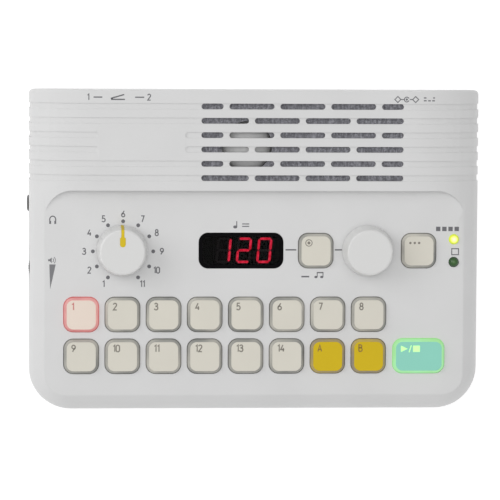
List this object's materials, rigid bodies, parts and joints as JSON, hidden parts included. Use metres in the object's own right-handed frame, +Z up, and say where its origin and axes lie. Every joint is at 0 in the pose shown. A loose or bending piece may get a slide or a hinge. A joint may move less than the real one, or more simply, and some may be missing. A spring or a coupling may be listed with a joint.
{
  "type": "drum machine",
  "caption": "Compact desktop drum machine: tilted control panel with square pads, two knobs and a number display, below a raised grooved speaker hump",
  "frame": {"origin": "on the table under the middle of the housing, at the bottom of the rubber feet", "axes": "+X to the player's right, +Y to the rear, +Z up"},
  "size_m": [0.2259, 0.159, 0.0501],
  "materials": {
    "shell": "fine matte",
    "knob": "satin",
    "cream_cap": "cream face on a translucent grey body",
    "lit_cap": "cream face on a translucent body lit red from inside",
    "mustard_cap": "mustard face on a translucent grey body",
    "start_cap": "translucent, lit green from inside",
    "mustard": "satin inlay",
    "window": "polished smoked red",
    "segment": "diffusing, lit red",
    "black_plastic": "satin",
    "wheel": "satin, notched rim",
    "pot_blue": "satin",
    "led_chip": "clear",
    "lamp_lit": "clear dome, lit yellow",
    "lamp_dark": "clear dome, dark green",
    "rubber": "matte",
    "steel": "zinc plated",
    "circuit_board": "solder mask",
    "felt": "fibrous felt",
    "cone_paper": "pressed paper",
    "cap_paper": "pressed paper",
    "ferrite": "sintered ferrite",
    "ribbon": "flat cable"
  },
  "bodies": {
    "housing": {"top_case": "shell", "bottom_case": "shell", "battery_contacts": "steel", "battery_springs": "steel", "rubber_feet": "rubber", "case_screws": "steel", "display_window": "window", "display_module": "black_plastic", "display_segments": "segment", "selector_switch": "steel", "tempo_encoder": "steel", "volume_pot": "pot_blue", "key_switches": "black_plastic", "pad_leds": "led_chip", "pattern_lamp": "lamp_lit", "pad_lamp": "lamp_dark", "main_board": "circuit_board", "board_screws": "steel", "speaker_felt": "felt", "speaker_frame": "steel", "speaker_cone": "cone_paper", "dust_cap": "cap_paper", "speaker_magnet": "ferrite", "speaker_screws": "steel", "phones_jack": "black_plastic", "foot_switch_jacks": "black_plastic", "dc_jack": "black_plastic", "power_switch": "steel", "rear_board": "circuit_board", "ribbon_cable": "ribbon"},
    "pad_1": {"pad_1": "lit_cap"},
    "pad_2": {"pad_2": "cream_cap"},
    "pad_3": {"pad_3": "cream_cap"},
    "pad_4": {"pad_4": "cream_cap"},
    "pad_5": {"pad_5": "cream_cap"},
    "pad_6": {"pad_6": "cream_cap"},
    "pad_7": {"pad_7": "cream_cap"},
    "pad_8": {"pad_8": "cream_cap"},
    "pad_9": {"pad_9": "cream_cap"},
    "pad_10": {"pad_10": "cream_cap"},
    "pad_11": {"pad_11": "cream_cap"},
    "pad_12": {"pad_12": "cream_cap"},
    "pad_13": {"pad_13": "cream_cap"},
    "pad_14": {"pad_14": "cream_cap"},
    "fill_button_1": {"fill_button_1": "mustard_cap"},
    "fill_button_2": {"fill_button_2": "mustard_cap"},
    "start_stop_button": {"start_stop_button": "start_cap"},
    "tap_button": {"tap_button": "cream_cap"},
    "mode_button": {"mode_button": "cream_cap"},
    "selector": {"selector_knob": "knob", "selector_pointer": "mustard", "selector_shaft": "steel"},
    "tempo": {"tempo_knob": "knob", "tempo_shaft": "steel"},
    "volume": {"volume_wheel": "wheel"},
    "power": {"power_slider": "black_plastic"},
    "door": {"battery_door": "shell"}
  },
  "joints": [
    {"name": "pad_1_press", "type": "slide", "parent": "housing", "child": "pad_1", "axis": [0, 0.1045, -0.9945], "range_m": [0, 0.0008], "stiffness_N_per_m": 1200, "springref_m": -0.0005},
    {"name": "pad_2_press", "type": "slide", "parent": "housing", "child": "pad_2", "axis": [0, 0.1045, -0.9945], "range_m": [0, 0.0008], "stiffness_N_per_m": 1200, "springref_m": -0.0005},
    {"name": "pad_3_press", "type": "slide", "parent": "housing", "child": "pad_3", "axis": [0, 0.1045, -0.9945], "range_m": [0, 0.0008], "stiffness_N_per_m": 1200, "springref_m": -0.0005},
    {"name": "pad_4_press", "type": "slide", "parent": "housing", "child": "pad_4", "axis": [0, 0.1045, -0.9945], "range_m": [0, 0.0008], "stiffness_N_per_m": 1200, "springref_m": -0.0005},
    {"name": "pad_5_press", "type": "slide", "parent": "housing", "child": "pad_5", "axis": [0, 0.1045, -0.9945], "range_m": [0, 0.0008], "stiffness_N_per_m": 1200, "springref_m": -0.0005},
    {"name": "pad_6_press", "type": "slide", "parent": "housing", "child": "pad_6", "axis": [0, 0.1045, -0.9945], "range_m": [0, 0.0008], "stiffness_N_per_m": 1200, "springref_m": -0.0005},
    {"name": "pad_7_press", "type": "slide", "parent": "housing", "child": "pad_7", "axis": [0, 0.1045, -0.9945], "range_m": [0, 0.0008], "stiffness_N_per_m": 1200, "springref_m": -0.0005},
    {"name": "pad_8_press", "type": "slide", "parent": "housing", "child": "pad_8", "axis": [0, 0.1045, -0.9945], "range_m": [0, 0.0008], "stiffness_N_per_m": 1200, "springref_m": -0.0005},
    {"name": "pad_9_press", "type": "slide", "parent": "housing", "child": "pad_9", "axis": [0, 0.1045, -0.9945], "range_m": [0, 0.0008], "stiffness_N_per_m": 1200, "springref_m": -0.0005},
    {"name": "pad_10_press", "type": "slide", "parent": "housing", "child": "pad_10", "axis": [0, 0.1045, -0.9945], "range_m": [0, 0.0008], "stiffness_N_per_m": 1200, "springref_m": -0.0005},
    {"name": "pad_11_press", "type": "slide", "parent": "housing", "child": "pad_11", "axis": [0, 0.1045, -0.9945], "range_m": [0, 0.0008], "stiffness_N_per_m": 1200, "springref_m": -0.0005},
    {"name": "pad_12_press", "type": "slide", "parent": "housing", "child": "pad_12", "axis": [0, 0.1045, -0.9945], "range_m": [0, 0.0008], "stiffness_N_per_m": 1200, "springref_m": -0.0005},
    {"name": "pad_13_press", "type": "slide", "parent": "housing", "child": "pad_13", "axis": [0, 0.1045, -0.9945], "range_m": [0, 0.0008], "stiffness_N_per_m": 1200, "springref_m": -0.0005},
    {"name": "pad_14_press", "type": "slide", "parent": "housing", "child": "pad_14", "axis": [0, 0.1045, -0.9945], "range_m": [0, 0.0008], "stiffness_N_per_m": 1200, "springref_m": -0.0005},
    {"name": "fill_button_1_press", "type": "slide", "parent": "housing", "child": "fill_button_1", "axis": [0, 0.1045, -0.9945], "range_m": [0, 0.0008], "stiffness_N_per_m": 1200, "springref_m": -0.0005},
    {"name": "fill_button_2_press", "type": "slide", "parent": "housing", "child": "fill_button_2", "axis": [0, 0.1045, -0.9945], "range_m": [0, 0.0008], "stiffness_N_per_m": 1200, "springref_m": -0.0005},
    {"name": "start_stop_button_press", "type": "slide", "parent": "housing", "child": "start_stop_button", "axis": [0, 0.1045, -0.9945], "range_m": [0, 0.0008], "stiffness_N_per_m": 1200, "springref_m": -0.0005},
    {"name": "tap_button_press", "type": "slide", "parent": "housing", "child": "tap_button", "axis": [0, 0.1045, -0.9945], "range_m": [0, 0.0008], "stiffness_N_per_m": 1200, "springref_m": -0.0005},
    {"name": "mode_button_press", "type": "slide", "parent": "housing", "child": "mode_button", "axis": [0, 0.1045, -0.9945], "range_m": [0, 0.0008], "stiffness_N_per_m": 1200, "springref_m": -0.0005},
    {"name": "selector_turn", "type": "hinge", "parent": "housing", "child": "selector", "pos_m": [-0.0662, -0.00087, 0.03553], "axis": [0, -0.1045, 0.9945], "range_deg": [-150, 150]},
    {"name": "tempo_turn", "type": "hinge", "parent": "housing", "child": "tempo", "pos_m": [0.0563, -0.00087, 0.03553], "axis": [0, -0.1045, 0.9945], "continuous": true},
    {"name": "volume_turn", "type": "hinge", "parent": "housing", "child": "volume", "pos_m": [-0.1037, -0.00857, 0.01878], "axis": [0, -0.1045, 0.9945], "range_deg": [-135, 135]},
    {"name": "power_slide", "type": "slide", "parent": "housing", "child": "power", "axis": [1, 0, 0], "range_m": [0, 0.004]},
    {"name": "battery_door_swing", "type": "hinge", "parent": "housing", "child": "door", "pos_m": [0, 0.0236, 0.0031], "axis": [1, 0, 0], "range_deg": [0, 100]}
  ]
}
